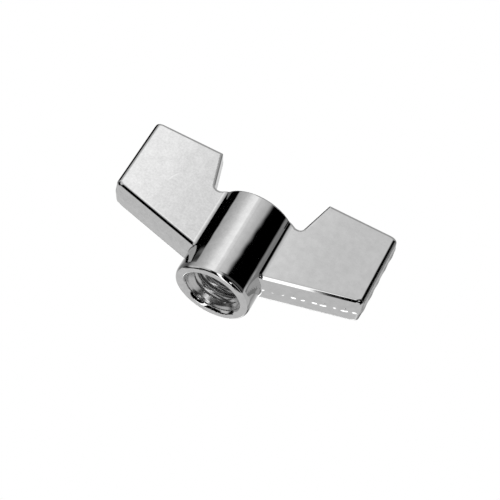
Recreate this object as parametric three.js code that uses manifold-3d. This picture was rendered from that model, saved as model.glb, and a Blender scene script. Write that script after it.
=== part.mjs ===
// Wing nut: a plated die casting (boss and two wings) with a threaded steel bush cast into it.
// Millimetres. The thread axis is Z, the seat face lies at Z = 0 and the wings rise along +Z.
// X runs along the span of the wings and Y across their thickness.
import * as THREE from 'three';
import { mergeVertices } from 'three/addons/utils/BufferGeometryUtils.js';
import Module from 'manifold-3d';

// ISO metric thread M8 x 1.25
const THREAD_MAJOR_RADIUS = 4.0;
const THREAD_PITCH = 1.25;
const THREAD_DEPTH = 0.5413 * THREAD_PITCH;
const THREAD_MINOR_RADIUS = THREAD_MAJOR_RADIUS - THREAD_DEPTH;

// Cast-in bush: ribs keep it from turning, the waist keeps it from pulling out
const BUSH_WALL = 0.9;
const BUSH_RADIUS = THREAD_MAJOR_RADIUS + BUSH_WALL;
const BUSH_END_CHAMFER = 0.25;
const RIB_COUNT = 16;
const RIB_HEIGHT = 0.3;
const WAIST_DEPTH = 0.4;
const WAIST_WIDTH = 2.4;
const CAST_CLEARANCE = 0.1;

// Boss
const BOSS_WALL = 1.1;
const BOSS_RADIUS = BUSH_RADIUS + BOSS_WALL;
const BOSS_LENGTH = 14.9;
const SEAT_RIM_ROUNDING = 0.45;
const SEAT_RIM_HEIGHT = 0.9;
const TOP_RIM_ROUNDING = 0.2;
const LIP_HEIGHT = 0.6;

// Mouths of the casting and of the bush, wide enough for a bolt of the thread's size
const MOUTH_CLEARANCE = 0.15;
const MOUTH_RADIUS = THREAD_MAJOR_RADIUS + MOUTH_CLEARANCE;
const MOUTH_CHAMFER = 0.35;
const COUNTERSINK_CLEARANCE = 0.1;
const COUNTERSINK_RADIUS = THREAD_MAJOR_RADIUS + COUNTERSINK_CLEARANCE;

// Wings, as they are on the parting plane at mid-thickness
const HALF_SPAN = 20.65;
const WING_TOP = 21.05;
const FRONT_EDGE_AT_BOSS = 4.1;
const FRONT_EDGE_AT_TIP = 7.85;
const NOTCH_WIDTH = 0.95;
const NOTCH_FLARE = 1.75;
const THICKNESS_AT_BOSS = 6.1;
const THICKNESS_AT_TIP = 6.0;
const DRAFT_INSET = 0.27;
const EDGE_ROUNDING = 0.5;
const FRONT_CORNER_ROUNDING = 0.75;
const BACK_CORNER_ROUNDING = 0.4;
const LEAST_ROUNDING = 0.1;

// Facets, and how far a cutter runs past the face that it cuts
const ROUND_SEGMENTS = 56;
const ROUNDING_SEGMENTS = 3;
const POINTS_PER_RIB = 4;
const THREAD_SEGMENTS = 32;
const OVERRUN = 1;
const MERGE_TOLERANCE = 1e-5;
const QUARTER_TURN = Math.PI / 2;

const wasm = await Module();
wasm.setup();

/** Turns a closed three.js geometry into a solid that can be joined and cut. */
function toSolid(geometry) {
  geometry.deleteAttribute('normal');
  geometry.deleteAttribute('uv');
  const merged = mergeVertices(geometry, MERGE_TOLERANCE);
  return new wasm.Manifold(new wasm.Mesh({
    numProp: 3,
    vertProperties: new Float32Array(merged.attributes.position.array),
    triVerts: new Uint32Array(merged.index.array),
  }));
}

/** Turns a solid back into a three.js geometry. */
function toGeometry(solid) {
  const mesh = solid.getMesh();
  const geometry = new THREE.BufferGeometry();
  geometry.setAttribute('position', new THREE.BufferAttribute(mesh.vertProperties, 3));
  geometry.setIndex(new THREE.BufferAttribute(mesh.triVerts, 1));
  geometry.computeVertexNormals();
  return geometry;
}

/** Geometry from a list of points and a list of index triples that face outward. */
function meshed(points, triangles) {
  const geometry = new THREE.BufferGeometry().setFromPoints(points);
  geometry.setIndex(triangles.flat());
  return geometry;
}

/** Solid of revolution about Z from [radius, height] pairs that start and end on the axis. */
function turned(profile) {
  const points = profile.map(([radius, height]) => new THREE.Vector2(radius, height));
  return toSolid(new THREE.LatheGeometry(points, ROUND_SEGMENTS).rotateX(QUARTER_TURN));
}

/** Quarter of an oval around [radius, height], as [radius, height] pairs from the start angle onward. */
function rimRound([radius, height], [run, rise], startAngle) {
  return Array.from({ length: ROUNDING_SEGMENTS + 1 }, (_, step) => {
    const angle = startAngle + (step / ROUNDING_SEGMENTS) * QUARTER_TURN;
    return [radius + run * Math.cos(angle), height + rise * Math.sin(angle)];
  });
}

/** The boss as a round post with rounded rims, before anything is cut from it. */
function bossPost() {
  const seatCentre = [BOSS_RADIUS - SEAT_RIM_ROUNDING, SEAT_RIM_HEIGHT];
  const topCentre = [BOSS_RADIUS - TOP_RIM_ROUNDING, BOSS_LENGTH - TOP_RIM_ROUNDING];
  return turned([
    [0, 0],
    ...rimRound(seatCentre, [SEAT_RIM_ROUNDING, SEAT_RIM_HEIGHT], -QUARTER_TURN),
    ...rimRound(topCentre, [TOP_RIM_ROUNDING, TOP_RIM_ROUNDING], 0),
    [0, BOSS_LENGTH],
  ]);
}

/** A value that changes in proportion from the boss to the wing tip. */
function alongWing(atBoss, atTip, distance) {
  return THREE.MathUtils.mapLinear(distance, BOSS_RADIUS, HALF_SPAN, atBoss, atTip);
}

/** Corners of a wing on the parting plane, anticlockwise from the foot of its root. */
function wingCorners() {
  const root = MOUTH_RADIUS;
  const notch = BOSS_RADIUS + NOTCH_WIDTH;
  const rootFoot = alongWing(FRONT_EDGE_AT_BOSS, FRONT_EDGE_AT_TIP, root);
  return [
    { at: new THREE.Vector2(root, rootFoot), rounding: 0 },
    { at: new THREE.Vector2(HALF_SPAN, FRONT_EDGE_AT_TIP), rounding: FRONT_CORNER_ROUNDING },
    { at: new THREE.Vector2(HALF_SPAN, WING_TOP), rounding: BACK_CORNER_ROUNDING },
    { at: new THREE.Vector2(notch + NOTCH_FLARE, WING_TOP), rounding: BACK_CORNER_ROUNDING },
    { at: new THREE.Vector2(notch, BOSS_LENGTH), rounding: BACK_CORNER_ROUNDING },
    { at: new THREE.Vector2(root, BOSS_LENGTH), rounding: 0 },
  ];
}

/** Directions of the two edges that meet at a corner, and whether the outline turns left there. */
function edgesAt(corners, index) {
  const count = corners.length;
  const corner = corners[index].at;
  const before = corner.clone().sub(corners[(index + count - 1) % count].at).normalize();
  const after = corners[(index + 1) % count].at.clone().sub(corner).normalize();
  return { before, after, turn: before.cross(after) };
}

/** A direction turned a quarter turn to the left, which points into an anticlockwise outline. */
function leftOf(direction) {
  return new THREE.Vector2(-direction.y, direction.x);
}

/** The outline with every edge moved inward, except the root's, which stays inside the boss. */
function insetOutline(corners, inset) {
  return corners.map(({ at, rounding }, index) => {
    const { before, after, turn } = edgesAt(corners, index);
    const insetBefore = index === 0 ? 0 : inset;
    const insetAfter = index === corners.length - 1 ? 0 : inset;
    const shift = leftOf(after).multiplyScalar(insetAfter).addScaledVector(leftOf(before), -insetBefore);
    const slide = shift.cross(after) / turn;
    const moved = at.clone().addScaledVector(leftOf(before), insetBefore).addScaledVector(before, slide);
    const tighter = Math.max(rounding - Math.sign(turn) * inset, LEAST_ROUNDING);
    return { at: moved, rounding: rounding === 0 ? 0 : tighter };
  });
}

/** The points of one corner: the corner itself, or an arc that touches both of its edges. */
function cornerPoints(corners, index) {
  const { at, rounding } = corners[index];
  if (rounding === 0) {
    return [at];
  }
  const { before, after, turn } = edgesAt(corners, index);
  const bend = Math.atan2(turn, before.dot(after));
  const towardCentre = leftOf(before).multiplyScalar(Math.sign(turn) * rounding);
  const reach = rounding * Math.tan(Math.abs(bend) / 2);
  const centre = at.clone().addScaledVector(before, -reach).add(towardCentre);
  return Array.from({ length: ROUNDING_SEGMENTS + 1 }, (_, step) => {
    const spoke = towardCentre.clone().negate();
    return spoke.rotateAround(new THREE.Vector2(), (bend * step) / ROUNDING_SEGMENTS).add(centre);
  });
}

/** Height above the parting plane and inset of each layer of a wing, from one face to the other. */
function wingLayers() {
  const rounded = Array.from({ length: ROUNDING_SEGMENTS + 1 }, (_, step) => {
    const angle = (step / ROUNDING_SEGMENTS) * QUARTER_TURN;
    return {
      belowFace: EDGE_ROUNDING * (1 - Math.sin(angle)),
      inset: DRAFT_INSET + EDGE_ROUNDING * (1 - Math.cos(angle)),
    };
  });
  const near = rounded.map((layer) => ({ ...layer, side: -1 })).reverse();
  const far = rounded.map((layer) => ({ ...layer, side: 1 }));
  return [...near, { belowFace: 0, inset: 0, side: 0 }, ...far];
}

/** The wing on the +X side: drafted from its parting plane to its faces, with rounded edges. */
function wingSolid() {
  const corners = wingCorners();
  const rings = wingLayers().map(({ belowFace, inset, side }) => {
    const outline = insetOutline(corners, inset);
    return outline.flatMap((_, index) => cornerPoints(outline, index)).map((point) => {
      const halfThickness = alongWing(THICKNESS_AT_BOSS, THICKNESS_AT_TIP, point.x) / 2;
      return new THREE.Vector3(point.x, side * (halfThickness - belowFace), point.y);
    });
  });
  return toSolid(meshed(rings.flat(), stitchRings(rings)));
}

/** Triangles that join neighbouring rings and close the first and the last. */
function stitchRings(rings) {
  const count = rings[0].length;
  const lastRing = (rings.length - 1) * count;
  const flat = rings[0].map((point) => new THREE.Vector2(point.x, point.z));
  const cap = THREE.ShapeUtils.triangulateShape(flat, []);
  const triangles = cap.flatMap(([a, b, c]) => [[a, b, c], [lastRing + a, lastRing + c, lastRing + b]]);
  for (let ring = 0; ring < lastRing; ring += count) {
    for (let point = 0; point < count; point += 1) {
      const next = (point + 1) % count;
      triangles.push([ring + point, ring + count + point, ring + count + next]);
      triangles.push([ring + point, ring + count + next, ring + next]);
    }
  }
  return triangles;
}

/** Ribbed bar along Z that the bush is turned from, grown outward by a clearance. */
function ribbedBar(grow) {
  const count = RIB_COUNT * POINTS_PER_RIB;
  const points = Array.from({ length: count }, (_, step) => {
    const angle = (step / count) * 2 * Math.PI;
    const rib = (RIB_HEIGHT / 2) * (Math.cos(RIB_COUNT * angle) - 1);
    const radius = BUSH_RADIUS + rib + grow;
    return new THREE.Vector2(radius * Math.cos(angle), radius * Math.sin(angle));
  });
  return toSolid(new THREE.ExtrudeGeometry(new THREE.Shape(points), {
    depth: BOSS_LENGTH,
    bevelEnabled: false,
  }));
}

/** Outside of the bush, grown on every face by a clearance: ribbed, waisted and chamfered. */
function bushOutside(grow) {
  const foot = LIP_HEIGHT - grow;
  const head = BOSS_LENGTH - LIP_HEIGHT + grow;
  const endRadius = BUSH_RADIUS - BUSH_END_CHAMFER + grow;
  const clearOfRibs = BUSH_RADIUS + grow + OVERRUN;
  const chamferRun = clearOfRibs - endRadius;
  const waistRadius = BUSH_RADIUS - WAIST_DEPTH + grow;
  const waistHalf = WAIST_WIDTH / 2 - grow;
  const envelope = turned([
    [0, foot],
    [endRadius, foot],
    [clearOfRibs, foot + chamferRun],
    [clearOfRibs, BOSS_LENGTH / 2 - waistHalf],
    [waistRadius, BOSS_LENGTH / 2 - waistHalf],
    [waistRadius, BOSS_LENGTH / 2 + waistHalf],
    [clearOfRibs, BOSS_LENGTH / 2 + waistHalf],
    [clearOfRibs, head - chamferRun],
    [endRadius, head],
    [0, head],
  ]);
  return ribbedBar(grow).intersect(envelope);
}

/** Hole through both lips of the casting, with a chamfer at each mouth. */
function mouthCutter() {
  const flared = MOUTH_RADIUS + MOUTH_CHAMFER + OVERRUN;
  return turned([
    [0, -OVERRUN],
    [flared, -OVERRUN],
    [MOUTH_RADIUS, MOUTH_CHAMFER],
    [MOUTH_RADIUS, BOSS_LENGTH - MOUTH_CHAMFER],
    [flared, BOSS_LENGTH + OVERRUN],
    [0, BOSS_LENGTH + OVERRUN],
  ]);
}

/** Countersinks that lead a bolt into both ends of the bush. */
function countersinkCutter() {
  const foot = LIP_HEIGHT;
  const head = BOSS_LENGTH - LIP_HEIGHT;
  return turned([
    [0, foot - OVERRUN],
    [COUNTERSINK_RADIUS + OVERRUN, foot - OVERRUN],
    [THREAD_MINOR_RADIUS / 2, foot + COUNTERSINK_RADIUS - THREAD_MINOR_RADIUS / 2],
    [THREAD_MINOR_RADIUS / 2, head - COUNTERSINK_RADIUS + THREAD_MINOR_RADIUS / 2],
    [COUNTERSINK_RADIUS + OVERRUN, head + OVERRUN],
    [0, head + OVERRUN],
  ]);
}

/** Radius and place in the pitch of each row of one turn of the thread. */
const THREAD_ROWS = [
  { radius: THREAD_MINOR_RADIUS, pitches: 0 },
  { radius: THREAD_MINOR_RADIUS, pitches: 1 / 4 },
  { radius: THREAD_MAJOR_RADIUS, pitches: 9 / 16 },
  { radius: THREAD_MAJOR_RADIUS, pitches: 11 / 16 },
];

/** The space that the thread takes, as a solid right-hand screw that overruns the boss at both ends. */
function threadCutter() {
  const perTurn = THREAD_ROWS.length;
  const turns = Math.ceil((BOSS_LENGTH + 2 * OVERRUN) / THREAD_PITCH) + 1;
  const lastRow = turns * perTurn;
  const foot = -OVERRUN - THREAD_PITCH;
  const lastColumn = THREAD_SEGMENTS - 1;
  const points = [];
  for (let column = 0; column < THREAD_SEGMENTS; column += 1) {
    const angle = (column / THREAD_SEGMENTS) * 2 * Math.PI;
    for (let row = 0; row <= lastRow; row += 1) {
      const { radius, pitches } = THREAD_ROWS[row % perTurn];
      const risen = Math.floor(row / perTurn) + pitches + column / THREAD_SEGMENTS;
      const height = foot + THREAD_PITCH * risen;
      points.push(new THREE.Vector3(radius * Math.cos(angle), radius * Math.sin(angle), height));
    }
  }
  const footCentre = points.push(new THREE.Vector3(0, 0, foot)) - 1;
  const headCentre = points.push(new THREE.Vector3(0, 0, foot + THREAD_PITCH * (turns + 1))) - 1;

  // A full turn to the right of a point is the point one pitch above it.
  const at = (column, row) => (column < THREAD_SEGMENTS ? column * (lastRow + 1) + row : row + perTurn);
  const triangles = [];
  for (let column = 0; column < THREAD_SEGMENTS; column += 1) {
    const rows = column === lastColumn ? lastRow - perTurn : lastRow;
    for (let row = 0; row < rows; row += 1) {
      triangles.push([at(column, row), at(column + 1, row), at(column + 1, row + 1)]);
      triangles.push([at(column, row), at(column + 1, row + 1), at(column, row + 1)]);
    }
    triangles.push([footCentre, at(column + 1, 0), at(column, 0)]);
    triangles.push([headCentre, at(column, rows), at(column + 1, rows)]);
  }
  for (let row = 0; row < perTurn; row += 1) {
    const fromTop = lastRow - row;
    triangles.push([footCentre, at(0, row), at(0, row + 1)]);
    triangles.push([headCentre, at(lastColumn, fromTop), at(lastColumn, fromTop - 1)]);
  }
  return toSolid(meshed(points, triangles));
}

/** The casting: boss and wings in one piece, with the pocket that it forms around the bush. */
function wingBody() {
  const wing = wingSolid();
  return bossPost()
    .add(wing)
    .add(wing.rotate([0, 0, 180]))
    .subtract(bushOutside(CAST_CLEARANCE))
    .subtract(mouthCutter());
}

/** The bush: ribbed steel bar, drilled, tapped and countersunk at both ends. */
function threadedInsert() {
  return bushOutside(0).subtract(threadCutter()).subtract(countersinkCutter());
}

/** A named mesh with a metal finish of its own. */
function part(name, solid, finish) {
  const mesh = new THREE.Mesh(toGeometry(solid), new THREE.MeshStandardMaterial(finish));
  mesh.name = name;
  return mesh;
}

const wingNut = new THREE.Group();
wingNut.add(
  part('wing_body', wingBody(), { color: 0xc8cacc, roughness: 0.12, metalness: 1 }),
  part('threaded_insert', threadedInsert(), { color: 0x9a9892, roughness: 0.28, metalness: 1 }),
);

export default wingNut;
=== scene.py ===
"""Looks of the wing nut: a plated die casting around a threaded steel bush, in a bright studio."""

import math

import bpy
import numpy as np
from mathutils import Matrix, Vector


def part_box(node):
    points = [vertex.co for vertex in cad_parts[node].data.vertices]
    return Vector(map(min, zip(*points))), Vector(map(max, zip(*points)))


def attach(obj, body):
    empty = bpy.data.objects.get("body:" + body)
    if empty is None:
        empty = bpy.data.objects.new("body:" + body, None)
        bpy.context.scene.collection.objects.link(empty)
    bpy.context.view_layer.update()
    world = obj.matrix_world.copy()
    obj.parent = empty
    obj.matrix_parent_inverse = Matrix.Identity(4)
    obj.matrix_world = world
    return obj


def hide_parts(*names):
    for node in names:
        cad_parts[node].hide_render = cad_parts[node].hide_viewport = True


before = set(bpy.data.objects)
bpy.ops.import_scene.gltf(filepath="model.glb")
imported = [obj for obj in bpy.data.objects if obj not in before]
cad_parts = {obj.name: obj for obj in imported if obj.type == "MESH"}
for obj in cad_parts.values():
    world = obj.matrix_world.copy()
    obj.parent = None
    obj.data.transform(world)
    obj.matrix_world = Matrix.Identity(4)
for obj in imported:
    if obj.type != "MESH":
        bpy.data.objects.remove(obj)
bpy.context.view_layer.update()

MM = 0.001

# ---------------------------------------------------------------- sizes, in millimetres

casting_low, casting_high = (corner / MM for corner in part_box("wing_body"))
bush_low, bush_high = (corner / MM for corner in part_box("threaded_insert"))

HALF_SPAN = casting_high.x
BOSS_RADIUS = casting_high.y
WING_TOP = casting_high.z
BUSH_RADIUS = bush_high.x
BUSH_FOOT = bush_low.z
BUSH_HEAD = bush_high.z
BOSS_LENGTH = BUSH_FOOT + BUSH_HEAD

FRONT_EDGE_AT_BOSS = 4.1
FRONT_EDGE_AT_TIP = 7.85
NOTCH_FROM_BOSS = 0.95
NOTCH = BOSS_RADIUS + NOTCH_FROM_BOSS
NOTCH_FLARE = 1.75
THICKNESS_AT_BOSS = 6.1
THICKNESS_AT_TIP = 6.0
DRAFT_INSET = 0.27
EDGE_ROUNDING = 0.5
TIP_EDGE_ROUNDING = 0.8
FRONT_CORNER_ROUNDING = 0.75
BACK_CORNER_ROUNDING = 0.4
NOTCH_CORNER_ROUNDING = 0.12
ROOT_FILLET = 0.3
ROOT_FILLET_REACH = 1.6
FRONT_FILLET = 0.2
SEAT_RIM_ROUNDING = 0.45
SEAT_RIM_HEIGHT = 0.9
TOP_RIM_ROUNDING = 0.2
TOP_EDGE_ROUNDING = 0.4
TOP_CORNER_ROUNDING = 0.6
PARTING_SOFTNESS = 0.12

# The bead of trimmed flash. Its height varies along the edge as shares of BEAD_HEIGHT, and its
# waves are given by height, rate and phase.
BEAD_HEIGHT = 0.14
BEAD_HALF_WIDTH = 0.36
BEAD_PLACE = -0.45
BEAD_COURSE = (1.9, 1.3)
BEAD_SHARE = 0.35
BEAD_SHARE_GAINED = 0.2
BEAD_GAINS_FROM = 8
BEAD_GAINS_TO = 14
BEAD_SHARE_ON_LEFT = 0.3
BEAD_WAVES = [(0.3, 1.9, 0.0), (0.15, 0.7, 1.7)]
BEAD_WANDER = (0.05, 0.9, 0.4)

# Casting ripple, as products of two waves: share of RIPPLE_HEIGHT, then the rates along x, y and z
# and the phase of each wave.
RIPPLE_HEIGHT = 0.0016
RIPPLES = [
    (1.0, (1.1, 0.0, 0.8, 0.5), (-0.7, 1.2, 0.9, 0.0)),
    (0.6, (0.0, 1.7, 2.3, 0.9), (1.9, -1.1, 0.0, 0.0)),
]

# The depth of an internal metric thread is a fixed share of its pitch.
THREAD_DEPTH_SHARE = 0.5413
THREAD_MAJOR_RADIUS = 4.0
THREAD_PITCH = 1.25
THREAD_START = -0.52
THREAD_MINOR_RADIUS = THREAD_MAJOR_RADIUS - THREAD_DEPTH_SHARE * THREAD_PITCH
MOUTH_CLEARANCE = 0.15
MOUTH_RADIUS = THREAD_MAJOR_RADIUS + MOUTH_CLEARANCE
MOUTH_FLARE = 0.5
MOUTH_DEPTH = 0.95
MOUTH_LIP = 0.12
RIB_COUNT = 16
RIB_HEIGHT = 0.3
WAIST_DEPTH = 0.4
WAIST_WIDTH = 2.4
BUSH_END_CHAMFER = 0.25
BUSH_SHARP_ANGLE = 28
POCKET_CLEARANCE = 0.05
END_CLEARANCE = 0.02

# How finely the shapes are drawn.
CELL = 0.15
LEAST_STEEPNESS = 0.25
THREAD_COLUMNS = 144
ROWS_PER_PITCH = 20

# ---------------------------------------------------------------- the casting as a field


def cut(a, b, rounding):
    """Field of what two solids share, with the edge between them rounded off."""
    corner = np.hypot(np.maximum(a + rounding, 0), np.maximum(b + rounding, 0))
    return np.minimum(np.maximum(a, b), -rounding) + corner


def join(a, b, rounding):
    """Field of two solids together, with a fillet in the corner between them."""
    return -cut(-a, -b, rounding)


def smooth_step(value, start, end):
    """0 before start, 1 after end and a smooth rise between them."""
    share = np.clip((value - start) / (end - start), 0, 1)
    return share * share * (3 - 2 * share)


def wave(along, height, rate, phase):
    """Sine wave along an edge."""
    return height * np.sin(rate * along + phase)


def parting_bead(x, y, z):
    """The uneven line of trimmed flash that the two halves of the die leave on every edge."""
    along = BEAD_COURSE[0] * x + BEAD_COURSE[1] * z
    share = BEAD_SHARE + BEAD_SHARE_GAINED * smooth_step(x, BEAD_GAINS_FROM, BEAD_GAINS_TO)
    for shape in BEAD_WAVES:
        share = share + wave(along, *shape)
    share = share * np.where(x > 0, 1, BEAD_SHARE_ON_LEFT)
    centre = BEAD_PLACE + wave(along, *BEAD_WANDER)
    return BEAD_HEIGHT * (share * np.exp(-(((y - centre) / BEAD_HALF_WIDTH) ** 2)) - 1)


def ripple(x, y, z):
    """Slow waves of a cast and plated surface, never proud of the nominal one."""
    depth = 0
    for share, *pair in RIPPLES:
        product = share
        for rate_x, rate_y, rate_z, phase in pair:
            product = product * np.sin(rate_x * x + rate_y * y + rate_z * z + phase)
        depth = depth + product + share
    return RIPPLE_HEIGHT * depth


def rib_outline(angle):
    """Radius of the ribbed outside of the bush."""
    return BUSH_RADIUS + RIB_HEIGHT / 2 * (np.cos(RIB_COUNT * angle) - 1)


def mouth_radius(z):
    """Radius of the bore where it opens in a cone with a soft lip at both ends of the boss."""
    depth = np.maximum(np.minimum(z, BOSS_LENGTH - z), 0)
    cone = MOUTH_FLARE * np.maximum(1 - depth / MOUTH_DEPTH, 0)
    return MOUTH_RADIUS + cone + MOUTH_LIP * np.exp(-depth / MOUTH_LIP)


def pocket(radius, angle, z):
    """Field of the space that the bush takes in the casting."""
    ends = np.maximum(BUSH_FOOT - END_CLEARANCE - z, z - BUSH_HEAD - END_CLEARANCE)
    sleeve = np.maximum(radius - rib_outline(angle) - POCKET_CLEARANCE, ends)
    waist_rise = WAIST_WIDTH / 2 - POCKET_CLEARANCE - np.abs(z - BOSS_LENGTH / 2)
    waist_wall = radius - (BUSH_RADIUS - WAIST_DEPTH + POCKET_CLEARANCE)
    return np.maximum(sleeve, np.minimum(waist_rise, waist_wall))


def casting_field(points):
    """Distance to the skin of the casting, negative inside it."""
    x, y, z = points.T
    reach = np.abs(x)
    radius = np.hypot(x, y)
    outward = (reach - BOSS_RADIUS) / (HALF_SPAN - BOSS_RADIUS)
    half_thickness = (THICKNESS_AT_BOSS + (THICKNESS_AT_TIP - THICKNESS_AT_BOSS) * outward) / 2
    draft = DRAFT_INSET * np.hypot(y, PARTING_SOFTNESS) / half_thickness - parting_bead(x, y, z)

    rise = (FRONT_EDGE_AT_TIP - FRONT_EDGE_AT_BOSS) / (HALF_SPAN - BOSS_RADIUS)
    front = (FRONT_EDGE_AT_BOSS + rise * (reach - BOSS_RADIUS) - z) * math.cos(math.atan(rise))
    outline = cut(front, reach - HALF_SPAN, FRONT_CORNER_ROUNDING)
    tip = HALF_SPAN - TIP_EDGE_ROUNDING
    near_tip = smooth_step(reach, tip - TIP_EDGE_ROUNDING, tip)
    edge_rounding = EDGE_ROUNDING + (TIP_EDGE_ROUNDING - EDGE_ROUNDING) * near_tip
    wing = cut(outline + draft, np.abs(y) - half_thickness, edge_rounding)
    seat = -z * SEAT_RIM_ROUNDING / SEAT_RIM_HEIGHT
    post = cut(radius - BOSS_RADIUS, seat, SEAT_RIM_ROUNDING)
    fillet = FRONT_FILLET + (ROOT_FILLET - FRONT_FILLET) * smooth_step(-front, 0, 1)
    metal = join(post / ROOT_FILLET_REACH, wing, fillet)

    lean = NOTCH_FLARE / (WING_TOP - BOSS_LENGTH)
    flare = (NOTCH + lean * (z - BOSS_LENGTH) - reach) * math.cos(math.atan(lean))
    notch = join(flare, z - BOSS_LENGTH, NOTCH_CORNER_ROUNDING)
    top = cut(z - WING_TOP, notch, BACK_CORNER_ROUNDING)
    off_boss = smooth_step(radius, BOSS_RADIUS, BOSS_RADIUS + 1)
    top_rounding = TOP_RIM_ROUNDING + (TOP_EDGE_ROUNDING - TOP_RIM_ROUNDING) * off_boss
    top_rounding = top_rounding + (TOP_CORNER_ROUNDING - TOP_EDGE_ROUNDING) * near_tip
    metal = cut(metal, top + off_boss * draft, top_rounding)

    metal = metal + ripple(x, y, z) * smooth_step(z, 0, 1)
    metal = np.maximum(metal, mouth_radius(z) - radius)
    return np.maximum(metal, -pocket(radius, np.arctan2(y, x), z))


def field_gradient(field, points, step=0.01):
    """Slope of a field at points, by central differences."""
    slopes = []
    for axis in np.eye(3) * step:
        slopes.append((field(points + axis) - field(points - axis)) / (2 * step))
    return np.stack(slopes, axis=1)


def on_surface(field, points, rounds=4):
    """Points moved onto the surface of a field, and the outward normals there."""
    for _ in range(rounds):
        slope = field_gradient(field, points)
        steepness = np.maximum((slope**2).sum(1), LEAST_STEEPNESS)
        move = np.clip(field(points) / steepness, -CELL, CELL)
        points = points - slope * move[:, None]
    slope = field_gradient(field, points)
    return points, slope / np.linalg.norm(slope, axis=1)[:, None]


def net_around(field, low, high, cell):
    """Closed net of quads around a field: a vertex in each grid cell that the surface crosses."""
    counts = np.ceil((high - low) / cell).astype(int) + 1
    axes = [low[axis] + cell * np.arange(counts[axis]) for axis in range(3)]
    values = np.empty(counts)
    for index, x in enumerate(axes[0]):
        y, z = np.meshgrid(axes[1], axes[2], indexing="ij")
        layer = np.stack([np.full(y.size, x), y.ravel(), z.ravel()], axis=1)
        values[index] = field(layer).reshape(y.shape)

    sums = np.zeros(tuple(counts - 1) + (3,))
    crossings = np.zeros(counts - 1, dtype=int)
    all_quads = []
    for axis in range(3):
        start = [slice(None)] * 3
        end = [slice(None)] * 3
        start[axis], end[axis] = slice(None, -1), slice(1, None)
        a, b = values[tuple(start)], values[tuple(end)]
        at = np.argwhere((a < 0) != (b < 0))
        inside_first = a[tuple(at.T)] < 0
        share = a[tuple(at.T)] / (a[tuple(at.T)] - b[tuple(at.T)])
        place = low + cell * (at + share[:, None] * np.eye(3)[axis])
        across = [other for other in range(3) if other != axis]
        around = []
        for back in ((0, 0), (1, 0), (1, 1), (0, 1)):
            cells = at.copy()
            cells[:, across] -= back
            np.add.at(sums, tuple(cells.T), place)
            np.add.at(crossings, tuple(cells.T), 1)
            around.append(np.ravel_multi_index(tuple(cells.T), crossings.shape))
        quads = np.stack(around, axis=1)
        backwards = inside_first if axis == 1 else ~inside_first
        quads[backwards] = quads[backwards][:, ::-1]
        all_quads.append(quads)
    used = np.flatnonzero(crossings.ravel())
    points = sums.reshape(-1, 3)[used] / crossings.ravel()[used][:, None]
    number = np.full(crossings.size, -1)
    number[used] = np.arange(len(used))
    return points, number[np.concatenate(all_quads)]


def mesh_object(name, points, faces, normals=None):
    """Smooth object in the scene from points in millimetres, with its own normals if given."""
    mesh = bpy.data.meshes.new(name)
    mesh.from_pydata((points * MM).tolist(), [], faces.tolist())
    mesh.polygons.foreach_set("use_smooth", [True] * len(mesh.polygons))
    if normals is not None:
        mesh.normals_split_custom_set_from_vertices(normals.tolist())
    obj = bpy.data.objects.new(name, mesh)
    bpy.context.scene.collection.objects.link(obj)
    return obj


def make_casting():
    """The boss and wings as one fine skin that follows the field exactly."""
    margin = 2 * CELL
    low = np.array(casting_low) - margin
    high = np.array(casting_high) + margin
    points, quads = net_around(casting_field, low, high, CELL)
    points, normals = on_surface(casting_field, points)
    return mesh_object("plated_wing_casting", points, quads, normals)


# ---------------------------------------------------------------- the bush


def thread_radius(angle, z):
    """Radius of the internal right-hand thread, with broad rounded crests."""
    turns = (z - THREAD_START) / THREAD_PITCH - angle / (2 * math.pi)
    from_root = 2 * np.abs(turns - np.floor(turns) - 0.5)
    depth = THREAD_MAJOR_RADIUS - THREAD_MINOR_RADIUS
    return THREAD_MINOR_RADIUS + depth * (1 - from_root) ** 2


def make_bush():
    """The steel bush: ribbed and waisted outside, threaded inside, with a cone at both mouths."""
    angle = np.arange(THREAD_COLUMNS) / THREAD_COLUMNS * 2 * math.pi
    ribs = rib_outline(angle)
    plain = np.full(THREAD_COLUMNS, BUSH_RADIUS)
    middle = (BUSH_FOOT + BUSH_HEAD) / 2
    outside = [
        (plain - RIB_HEIGHT - BUSH_END_CHAMFER, BUSH_FOOT),
        (ribs - BUSH_END_CHAMFER / 2, BUSH_FOOT),
        (ribs, BUSH_FOOT + BUSH_END_CHAMFER),
        (ribs, middle - WAIST_WIDTH / 2),
        (plain - WAIST_DEPTH, middle - WAIST_WIDTH / 2),
        (plain - WAIST_DEPTH, middle + WAIST_WIDTH / 2),
        (ribs, middle + WAIST_WIDTH / 2),
        (ribs, BUSH_HEAD - BUSH_END_CHAMFER),
        (ribs - BUSH_END_CHAMFER / 2, BUSH_HEAD),
        (plain - RIB_HEIGHT - BUSH_END_CHAMFER, BUSH_HEAD),
    ]
    steps = round((BUSH_HEAD - BUSH_FOOT) / THREAD_PITCH * ROWS_PER_PITCH)
    inside = []
    for z in np.linspace(BUSH_HEAD, BUSH_FOOT, steps + 1):
        past_mouth = max(min(z, BOSS_LENGTH - z) - MOUTH_DEPTH, 0)
        inside.append((np.maximum(thread_radius(angle, z), mouth_radius(z) - past_mouth), z))
    rows = outside + inside

    points = []
    for radius, z in rows:
        ring = [radius * np.cos(angle), radius * np.sin(angle), np.full(radius.shape, z)]
        points.append(np.stack(ring, axis=1))
    row, column = np.meshgrid(np.arange(len(rows)), np.arange(THREAD_COLUMNS), indexing="ij")
    next_row, next_column = (row + 1) % len(rows), (column + 1) % THREAD_COLUMNS
    corners = [(row, column), (row, next_column), (next_row, next_column), (next_row, column)]
    quads = np.stack([r * THREAD_COLUMNS + c for r, c in corners], axis=-1).reshape(-1, 4)
    bush = mesh_object("threaded_bush", np.concatenate(points), quads)
    bush.data.set_sharp_from_angle(angle=math.radians(BUSH_SHARP_ANGLE))
    return bush


# ---------------------------------------------------------------- materials


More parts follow.
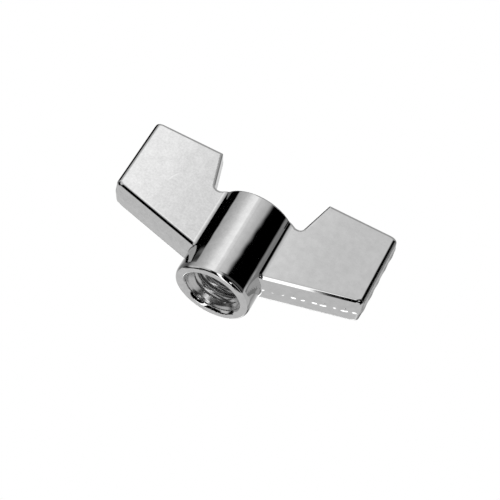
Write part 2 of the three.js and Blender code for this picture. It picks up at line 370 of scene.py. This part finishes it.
class Nodes:
    """Short calls for making and linking the nodes of one tree."""

    def __init__(self, tree):
        self.tree = tree
        tree.nodes.clear()

    def add(self, kind, inputs=None, **settings):
        node = self.tree.nodes.new(kind)
        for key, value in settings.items():
            setattr(node, key, value)
        for key, value in (inputs or {}).items():
            self.plug(value, node.inputs[key])
        return node

    def plug(self, value, socket):
        if isinstance(value, bpy.types.NodeSocket):
            self.tree.links.new(value, socket)
        else:
            socket.default_value = value

    def math(self, operation, *values):
        inputs = dict(enumerate(values))
        return self.add("ShaderNodeMath", inputs, operation=operation).outputs[0]

    def rise(self, value, start, end):
        """0 before start, 1 after end and a smooth rise between them."""
        inputs = {"Value": value, "From Min": start, "From Max": end}
        node = self.add("ShaderNodeMapRange", inputs, interpolation_type="SMOOTHSTEP")
        return node.outputs["Result"]

    def window(self, value, span, softness):
        """1 within a span and 0 outside it, with soft ends."""
        opened = self.rise(value, span[0] - softness[0], span[0] + softness[0])
        closed = self.rise(value, span[1] + softness[1], span[1] - softness[1])
        return self.math("MULTIPLY", opened, closed)

    def length(self, a, b):
        """Length of a vector with two parts."""
        squares = [self.math("MULTIPLY", value, value) for value in (a, b)]
        return self.math("SQRT", self.math("ADD", *squares))

    def dot(self, vector, axis):
        inputs = {0: vector, 1: axis}
        return self.add("ShaderNodeVectorMath", inputs, operation="DOT_PRODUCT").outputs["Value"]

    def blend(self, share, a, b):
        inputs = {"Factor": share, "A": a, "B": b}
        return self.add("ShaderNodeMix", inputs, data_type="FLOAT").outputs["Result"]

    def noise(self, place, scale, detail=3.0, roughness=0.5):
        inputs = {"Vector": place, "Scale": scale, "Detail": detail, "Roughness": roughness}
        return self.add("ShaderNodeTexNoise", inputs).outputs["Fac"]

    def material_output(self, shader):
        output = self.add("ShaderNodeOutputMaterial")
        self.plug(shader.outputs[0], output.inputs["Surface"])

    def metal_output(self, tint, roughness, relief, strength):
        """Finish of a grey metal with a fine relief."""
        color = self.add("ShaderNodeCombineColor", {"Red": tint, "Green": tint, "Blue": tint})
        inputs = {"Height": relief, "Strength": strength, "Distance": RELIEF_DEPTH * MM}
        bump = self.add("ShaderNodeBump", inputs)
        inputs = {
            "Base Color": color.outputs[0],
            "Metallic": 1.0,
            "Roughness": roughness,
            "Normal": bump.outputs["Normal"],
        }
        self.material_output(self.add("ShaderNodeBsdfPrincipled", inputs))


# Depth of the fine relief, in millimetres.
RELIEF_DEPTH = 0.02

PLATED_HAZE_SCALE = 160.0
PLATED_ROUGHNESS = 0.02
PLATED_HAZE_GAIN = 0.04
MOTTLE_SCALE = 900.0
MOTTLE_SPAN = (0.3, 0.7)
MOTTLE_TINTS = (0.73, 0.81)
PEEL_SCALE = 420.0
MOTTLE_IN_PEEL = 0.35
PEEL_STRENGTH = 0.06

# Fine specks, stronger on the left wing.
SPECK_SCALE = 3000.0
SPECK_GAIN = 0.08
SPECK_GAIN_ADDED_ON_LEFT = 0.22
SPECKS_RISE_FROM = 2
SPECKS_RISE_TO = -6

# The outer edge of the right wing is rubbed a little dull.
RUBBED_FROM = 19.7
RUBBED_TO = 20.2
RUBBED_ROUGHNESS = 0.26

# A shallow curved scratch on the face of the left wing: centre of its arc in x and z, and the x
# between which it runs.
SCRATCH_CENTRE = (-9.0, 10.95)
SCRATCH_RADIUS = 5.0
SCRATCH_RUN = (-13.8, -12.9)
SCRATCH_ENDS = (0.2, 0.4)
SCRATCH_HALF_WIDTH = 0.15
SCRATCH_GAIN = 0.14

TURNED_RINGS_SCALE = (60.0, 60.0, 5000.0)
TURNED_RINGS_STRENGTH = 0.15
TURNED_TINT = 0.58
TURNED_TINT_GAIN = 0.2
STAIN_SCALE = 500.0
STAIN_ROUGHNESS = 0.14
STAIN_GAIN = 0.2


def scratch(nodes, place):
    """1 along the scratch, on the side of the nut that faces -Y, and 0 elsewhere."""
    split = nodes.add("ShaderNodeSeparateXYZ", {"Vector": place}).outputs
    across = nodes.math("SUBTRACT", split["X"], SCRATCH_CENTRE[0] * MM)
    upward = nodes.math("SUBTRACT", split["Z"], SCRATCH_CENTRE[1] * MM)
    reach = nodes.length(across, upward)
    off_arc = nodes.math("ABSOLUTE", nodes.math("SUBTRACT", reach, SCRATCH_RADIUS * MM))
    share = nodes.rise(off_arc, SCRATCH_HALF_WIDTH * MM, 0.0)
    run = [end * MM for end in SCRATCH_RUN]
    ends = [softness * MM for softness in SCRATCH_ENDS]
    share = nodes.math("MULTIPLY", share, nodes.window(split["X"], run, ends))
    share = nodes.math("MULTIPLY", share, nodes.math("LESS_THAN", split["Y"], 0.0))
    return nodes.math("MULTIPLY", share, nodes.math("GREATER_THAN", upward, 0.0))


def new_material(name):
    """Empty material, and short calls for its nodes."""
    material = bpy.data.materials.new(name)
    material.use_nodes = True
    return material, Nodes(material.node_tree)


def plated_metal():
    """Bright nickel-chrome over a die casting: near mirror, with orange peel, haze and specks."""
    material, nodes = new_material("plated_metal")
    place = nodes.add("ShaderNodeTexCoord").outputs["Object"]
    along = nodes.add("ShaderNodeSeparateXYZ", {"Vector": place}).outputs["X"]
    haze = nodes.noise(place, PLATED_HAZE_SCALE, detail=4.0)
    mottle = nodes.noise(place, MOTTLE_SCALE, roughness=0.6)
    peel = nodes.noise(place, PEEL_SCALE, detail=2.0)
    specks = nodes.math("SUBTRACT", nodes.noise(place, SPECK_SCALE), 0.5)

    rubbed = nodes.rise(along, RUBBED_FROM * MM, RUBBED_TO * MM)
    roughness = nodes.math("MULTIPLY_ADD", haze, PLATED_HAZE_GAIN, PLATED_ROUGHNESS)
    roughness = nodes.math("MULTIPLY_ADD", rubbed, RUBBED_ROUGHNESS, roughness)

    inputs = {
        "Value": mottle,
        "From Min": MOTTLE_SPAN[0],
        "From Max": MOTTLE_SPAN[1],
        "To Min": MOTTLE_TINTS[0],
        "To Max": MOTTLE_TINTS[1],
    }
    tint = nodes.add("ShaderNodeMapRange", inputs).outputs["Result"]
    on_left = nodes.rise(along, SPECKS_RISE_FROM * MM, SPECKS_RISE_TO * MM)
    gain = nodes.math("MULTIPLY_ADD", on_left, SPECK_GAIN_ADDED_ON_LEFT, SPECK_GAIN)
    tint = nodes.math("MULTIPLY_ADD", specks, gain, tint)
    tint = nodes.math("MULTIPLY_ADD", scratch(nodes, place), SCRATCH_GAIN, tint)

    relief = nodes.math("MULTIPLY_ADD", mottle, MOTTLE_IN_PEEL, peel)
    nodes.metal_output(tint, roughness, relief, PEEL_STRENGTH)
    return material


def turned_steel():
    """Turned and tapped steel, with fine rings around the thread axis."""
    material, nodes = new_material("turned_steel")
    place = nodes.add("ShaderNodeTexCoord").outputs["Object"]
    inputs = {"Vector": place, "Scale": TURNED_RINGS_SCALE}
    rings_place = nodes.add("ShaderNodeMapping", inputs).outputs["Vector"]
    rings = nodes.noise(rings_place, 1.0, detail=2.0)
    stain = nodes.noise(place, STAIN_SCALE)
    tint = nodes.math("MULTIPLY_ADD", rings, TURNED_TINT_GAIN, TURNED_TINT)
    roughness = nodes.math("MULTIPLY_ADD", stain, STAIN_GAIN, STAIN_ROUGHNESS)
    nodes.metal_output(tint, roughness, rings, TURNED_RINGS_STRENGTH)
    return material


# ---------------------------------------------------------------- studio

REFLECTANCE = 0.78
SCREEN_GAMMA = 2.2


def level(shade):
    """Brightness of a studio surface that the metal shows as a screen shade from 0 to 255."""
    return (shade / 255) ** SCREEN_GAMMA / REFLECTANCE


# Shades around the object by azimuth in degrees: 0 is in front (-Y), 90 on the right (+X). A shade
# above 255, here or in a panel, is a light brighter than the screen shows.
SURROUND = [
    (-180, 195), (-150, 185), (-130, 115), (-116, 105), (-106, 85), (-96, 80), (-86, 120),
    (-74, 155), (-64, 164), (-50, 181), (-40, 199), (-30, 222), (-23, 228), (-17, 234),
    (-15.6, 232), (-14.2, 218), (-12, 209), (-7.5, 204), (-5, 191), (0, 189), (11, 176),
    (22, 165), (84, 90), (90, 116), (98, 128), (106, 112), (116, 85), (130, 80), (144, 150),
    (165, 180), (180, 195),
]

# Panels in painting order: azimuths of the sides and their softness, elevations of the ends and
# their softness, how far the first side leans in azimuth for each degree that it rises, and shade.
# A side or end far outside the circle is one that the panel doesn't have.
LEAN_FROM = 30.0
PANELS = [
    ("ceiling", (-400, 400), (1, 1), (52, 120), (5, 5), 0, 148),
    ("ceiling edge in front", (-26, 60), (3, 3), (35, 120), (2, 2), 0, 148),
    ("low on the right", (84, 134), (3, 6), (-20, 27.9), (4, 0.8), 0, 168),
    ("left flag", (-116, -78), (2, 2), (27.4, 50), (0.9, 0.9), 0, 0),
    ("left flag, next to the wing", (-131, -113), (3, 2), (28.3, 50), (0.5, 0.9), 0, 0),
    ("left flag, behind", (-174, -112), (3, 3), (30, 50), (0.8, 0.8), 0, 0),
    ("right flag", (26, 86), (8, 3), (21, 50), (3, 2), 3.4, 0),
    ("between the right flags", (10, 84), (6, 3), (5, 24), (3, 2), 0, 70),
    ("right flag, low", (10, 84), (6, 3), (-16, 8), (4, 4), 0, 0),
    ("floor bounce", (-400, 400), (1, 1), (-120, -6), (3, 3), 0, 180),
    ("dark stand on the left", (-116, -92), (4, 7), (-36, -4), (3, 3), 0, 25),
    ("left of the floor", (-142, -42), (4, 4), (-62, -37), (3, 3), 0, 0),
    ("left of the floor, in front", (-62, -22), (4, 4), (-64, -27), (3, 4), 0, 0),
    ("front of the floor", (-24, 82), (4, 4), (-76, -10), (3, 3), 0, 0),
    ("right of the floor", (70, 140), (4, 6), (-78, -62), (3, 3), 0, 0),
    ("under the right flag", (12, 40), (6, 3), (-30, -2), (3, 3), 0, 0),
    ("light below", (-400, 400), (1, 1), (-120, -79), (3, 3), 0, 255),
    ("small light", (38, 45), (1, 1), (-31, -19), (2, 2), 0, 300),
    ("light in front", (-2, 9), (2, 3), (-27, -9), (2, 2), 0, 300),
    ("light behind", (168, 400), (3, 3), (-14, -3), (1.5, 2), 0, 310),
    ("light behind, far side", (-400, -177), (3, 2), (-14, -3), (1.5, 2), 0, 310),
    ("dark behind", (150, 400), (4, 4), (2, 20), (2, 3), 0, 70),
    ("dark behind, far side", (-400, -158), (4, 4), (-4, 20), (3, 3), 0, 70),
]

# Strip light across the floor, square to the front edge of the right wing. Its width is in sines
# of the angle to that square plane, and its length in degrees around the edge from the horizon in
# front.
STRIP_WIDTH = (-0.15, 0.047)
STRIP_WIDTH_SOFTNESS = (0.01, 0.012)
STRIP_LENGTH = (9, 108)
STRIP_LENGTH_SOFTNESS = (3, 3)
STRIP_SHADE = 275

# What the metal shows of the studio by way of a second reflection. The rest of it is black.
ECHO_ON_THE_RIGHT = 120
ECHO_FROM_BELOW = 160
ECHO_RISE = (48.0, 62.0)


def studio_world():
    """World that is plain white to the camera and a lit studio to the metal."""
    world = bpy.data.worlds.new("studio")
    bpy.context.scene.world = world
    world.use_nodes = True
    nodes = Nodes(world.node_tree)
    direction = nodes.add("ShaderNodeTexCoord").outputs["Generated"]
    split = nodes.add("ShaderNodeSeparateXYZ", {"Vector": direction}).outputs
    degrees = math.degrees(1)
    forward = nodes.math("MULTIPLY", split["Y"], -1.0)
    azimuth = nodes.math("MULTIPLY", nodes.math("ARCTAN2", split["X"], forward), degrees)
    elevation = nodes.math("MULTIPLY", nodes.math("ARCSINE", split["Z"]), degrees)

    turned = nodes.math("MULTIPLY_ADD", azimuth, 1 / 360, 0.5)
    ramp = nodes.add("ShaderNodeValToRGB", {"Fac": turned})
    stops = ramp.color_ramp.elements
    while len(stops) > 1:
        stops.remove(stops[-1])
    for index, (angle, shade) in enumerate(SURROUND):
        stop = stops[0] if index == 0 else stops.new(angle / 360 + 0.5)
        stop.position = angle / 360 + 0.5
        stop.color = (level(shade),) * 3 + (1,)
    light = ramp.outputs["Color"]
    for _, sides, side_softness, ends, end_softness, lean, shade in PANELS:
        risen = nodes.math("SUBTRACT", elevation, LEAN_FROM)
        slanted = nodes.math("MULTIPLY_ADD", risen, -lean, azimuth)
        side, softness = sides[0], side_softness[0]
        opened = nodes.rise(slanted, side - softness, side + softness)
        side, softness = sides[1], side_softness[1]
        closed = nodes.rise(azimuth, side + softness, side - softness)
        share = nodes.math("MULTIPLY", opened, closed)
        share = nodes.math("MULTIPLY", share, nodes.window(elevation, ends, end_softness))
        light = nodes.blend(share, light, level(shade))

    rise = FRONT_EDGE_AT_TIP - FRONT_EDGE_AT_BOSS
    slope = math.atan(rise / (HALF_SPAN - BOSS_RADIUS))
    along = nodes.dot(direction, (math.cos(slope), 0, math.sin(slope)))
    below = nodes.dot(direction, (math.sin(slope), 0, -math.cos(slope)))
    around = nodes.math("MULTIPLY", nodes.math("ARCTAN2", below, forward), degrees)
    across_strip = nodes.window(along, STRIP_WIDTH, STRIP_WIDTH_SOFTNESS)
    along_strip = nodes.window(around, STRIP_LENGTH, STRIP_LENGTH_SOFTNESS)
    share = nodes.math("MULTIPLY", across_strip, along_strip)
    light = nodes.blend(share, light, level(STRIP_SHADE))

    path = nodes.add("ShaderNodeLightPath").outputs
    twice = nodes.math("GREATER_THAN", path["Glossy Depth"], 1.5)
    echo = nodes.math("MULTIPLY", nodes.rise(azimuth, *ECHO_RISE), level(ECHO_ON_THE_RIGHT))
    echo = nodes.blend(nodes.math("LESS_THAN", elevation, 0.0), echo, level(ECHO_FROM_BELOW))
    light = nodes.blend(twice, light, echo)
    seen = nodes.blend(path["Is Camera Ray"], light, 1.0)
    background = nodes.add("ShaderNodeBackground", {"Color": seen, "Strength": 1.0})
    output = nodes.add("ShaderNodeOutputWorld")
    nodes.plug(background.outputs[0], output.inputs["Surface"])


FLOOR_REACH = 600.0
FLOOR_GREY = 0.86
LAMP_SIZE = 0.5
LAMP_WATTS = 2.2
LAMP_PLACE = Vector((-0.1, -0.15, 0.6))


def pale_floor():
    """Pale floor under the seat face. It is clear from below, so that the seat face can be seen."""
    sides = [(-1, -1), (1, -1), (1, 1), (-1, 1)]
    corners = np.array([(x * FLOOR_REACH, y * FLOOR_REACH, 0.0) for x, y in sides])
    floor = mesh_object("studio_floor", corners, np.array([[0, 1, 2, 3]]))
    material, nodes = new_material("pale_floor")
    behind = nodes.add("ShaderNodeNewGeometry").outputs["Backfacing"]
    matt = nodes.add("ShaderNodeBsdfDiffuse", {"Color": (FLOOR_GREY,) * 3 + (1.0,)})
    clear = nodes.add("ShaderNodeBsdfTransparent")
    inputs = {0: behind, 1: matt.outputs[0], 2: clear.outputs[0]}
    nodes.material_output(nodes.add("ShaderNodeMixShader", inputs))
    floor.data.materials.append(material)
    floor.visible_glossy = False
    floor.visible_shadow = False


def soft_light():
    """A broad soft light high above, which lights the floor but isn't reflected in the metal."""
    lamp = bpy.data.lights.new("overhead_light", "AREA")
    lamp.shape = "DISK"
    lamp.size = LAMP_SIZE
    lamp.energy = LAMP_WATTS
    light = bpy.data.objects.new("overhead_light", lamp)
    light.location = LAMP_PLACE
    light.rotation_euler = light.location.to_track_quat("Z", "Y").to_euler()
    light.visible_glossy = False
    bpy.context.scene.collection.objects.link(light)


# ---------------------------------------------------------------- camera

CAMERA_PLACE = Vector((28.5, -167.88, -85.03)) * MM
CAMERA_RIGHT = Vector((0.88626, -0.11104, 0.44968))
CAMERA_BACK = Vector((0.13821, -0.86322, -0.48554))
LENS = 95.03
SENSOR_WIDTH = 36
NEAREST_VIEW = 0.002


def studio_camera():
    """Camera low in front of the nut, rolled so that the thread axis leans to the right."""
    data = bpy.data.cameras.new("camera")
    data.sensor_width = SENSOR_WIDTH
    data.lens = LENS
    data.clip_start = NEAREST_VIEW
    camera = bpy.data.objects.new("camera", data)
    back = CAMERA_BACK.normalized()
    up = back.cross(CAMERA_RIGHT).normalized()
    right = up.cross(back)
    turn = Matrix((right, up, back)).transposed()
    camera.matrix_world = Matrix.Translation(CAMERA_PLACE) @ turn.to_4x4()
    bpy.context.scene.collection.objects.link(camera)
    bpy.context.scene.camera = camera


# ---------------------------------------------------------------- the scene

studio_camera()
studio_world()
pale_floor()
soft_light()
bpy.context.scene.view_settings.view_transform = "Standard"

casting = make_casting()
casting.data.materials.append(plated_metal())
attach(casting, "root")
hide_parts("wing_body")

bush = make_bush()
bush.data.materials.append(turned_steel())
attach(bush, "root")
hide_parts("threaded_insert")
